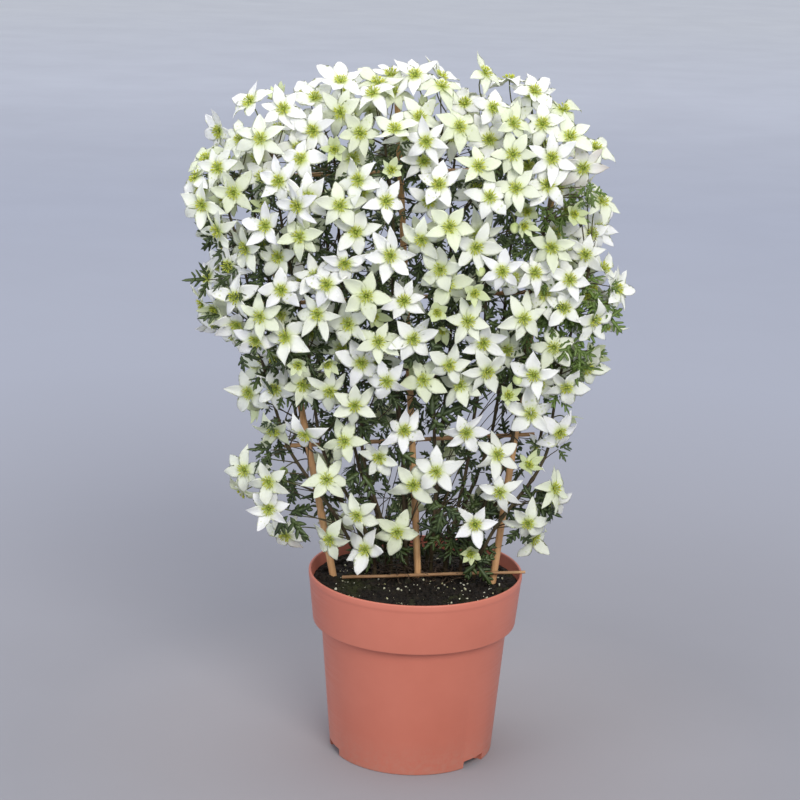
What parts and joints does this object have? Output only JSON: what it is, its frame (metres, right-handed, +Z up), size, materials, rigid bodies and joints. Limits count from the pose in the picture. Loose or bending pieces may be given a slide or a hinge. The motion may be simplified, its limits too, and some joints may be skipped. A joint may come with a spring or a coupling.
{
  "type": "potted flowering clematis on a bamboo fan",
  "caption": "Evergreen clematis in full white flower, climbing a fan of bamboo canes tied with split-cane crossbars, in a terracotta-coloured plastic nursery pot of soil.",
  "frame": {"origin": "middle of the pot's underside, on the surface it stands on", "axes": "+Z up, -Y towards the side that the picture shows, +X to the viewer's right"},
  "size_m": [0.3876, 0.207, 0.6195],
  "materials": {
    "pot_plastic": "moulded terracotta-coloured plastic, satin",
    "peat": "damp dark peat with white perlite",
    "bamboo": "thin bamboo canes with nodes",
    "split_cane": "split cane, dry",
    "wire": "thin dark binding wire",
    "vine": "green stems, cut leaves and white flowers of one climbing stem",
    "petals": "soft white sepals, greenish at the base",
    "stamens": "yellow-green stamens",
    "leaves": "dark green, glossy, deeply cut leaves",
    "stems": "thin dark wiry stems",
    "buds": "pale green buds"
  },
  "bodies": {
    "root": {"pot": "pot_plastic", "soil": "peat", "cane_left": "bamboo", "cane_centre": "bamboo", "cane_right": "bamboo", "crossbar_soil": "split_cane", "crossbar_lower": "split_cane", "crossbar_middle": "split_cane", "crossbar_upper": "split_cane", "tie_left_lower": "wire", "tie_centre_lower": "wire", "tie_right_lower": "wire", "tie_left_middle": "wire", "tie_centre_middle": "wire", "tie_right_middle": "wire", "tie_left_upper": "wire", "tie_centre_upper": "wire", "tie_right_upper": "wire", "flowering_stem_front_1": "vine", "flowering_stem_front_2": "vine", "flowering_stem_front_3": "vine", "flowering_stem_front_4": "vine", "flowering_stem_front_5": "vine", "flowering_stem_front_6": "vine", "flowering_stem_front_7": "vine", "flowering_stem_front_8": "vine", "flowering_stem_back_1": "vine", "flowering_stem_back_2": "vine", "flowering_stem_back_3": "vine", "flowering_stem_back_4": "vine", "flowering_stem_back_5": "vine", "flowering_stem_back_6": "vine"}
  },
  "joints": []
}
